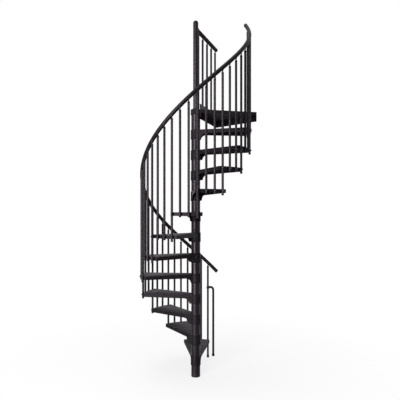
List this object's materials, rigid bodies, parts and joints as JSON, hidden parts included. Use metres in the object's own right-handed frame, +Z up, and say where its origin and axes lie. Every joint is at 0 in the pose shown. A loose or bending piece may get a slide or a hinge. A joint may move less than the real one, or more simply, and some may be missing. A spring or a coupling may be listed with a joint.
{
  "type": "spiral staircase",
  "caption": "Narrow metal spiral staircase with open wedge treads round a column, a landing at the top, round balusters and a helical handrail.",
  "frame": {"origin": "middle of the column's foot, on the floor", "axes": "+Z up along the column; the stair climbs anticlockwise seen from above, and +X points along the landing's near edge"},
  "size_m": [1.3253, 1.2563, 3.9964],
  "materials": {
    "black_paint": "satin powder coat",
    "black_fittings": "matte"
  },
  "bodies": {
    "root": {"balusters_01": "black_paint", "balusters_02": "black_paint", "balusters_03": "black_paint", "balusters_04": "black_paint", "balusters_05": "black_paint", "balusters_06": "black_paint", "balusters_07": "black_paint", "balusters_08": "black_paint", "balusters_09": "black_paint", "balusters_10": "black_paint", "balusters_11": "black_paint", "balusters_12": "black_paint", "base_disc": "black_paint", "bent_start_bar": "black_paint", "centre_pole": "black_paint", "column_spacers": "black_paint", "first_baluster": "black_paint", "handrail_1": "black_paint", "handrail_2": "black_paint", "handrail_3": "black_paint", "handrail_4": "black_paint", "handrail_5": "black_paint", "handrail_6": "black_paint", "handrail_ends": "black_fittings", "landing_balusters": "black_paint", "landing_deck": "black_paint", "landing_handrail": "black_paint", "landing_post": "black_paint", "landing_side_plate": "black_paint", "newel_cap": "black_fittings", "tread_01": "black_paint", "tread_02": "black_paint", "tread_03": "black_paint", "tread_04": "black_paint", "tread_05": "black_paint", "tread_06": "black_paint", "tread_07": "black_paint", "tread_08": "black_paint", "tread_09": "black_paint", "tread_10": "black_paint", "tread_11": "black_paint", "tread_12": "black_paint"}
  },
  "joints": []
}
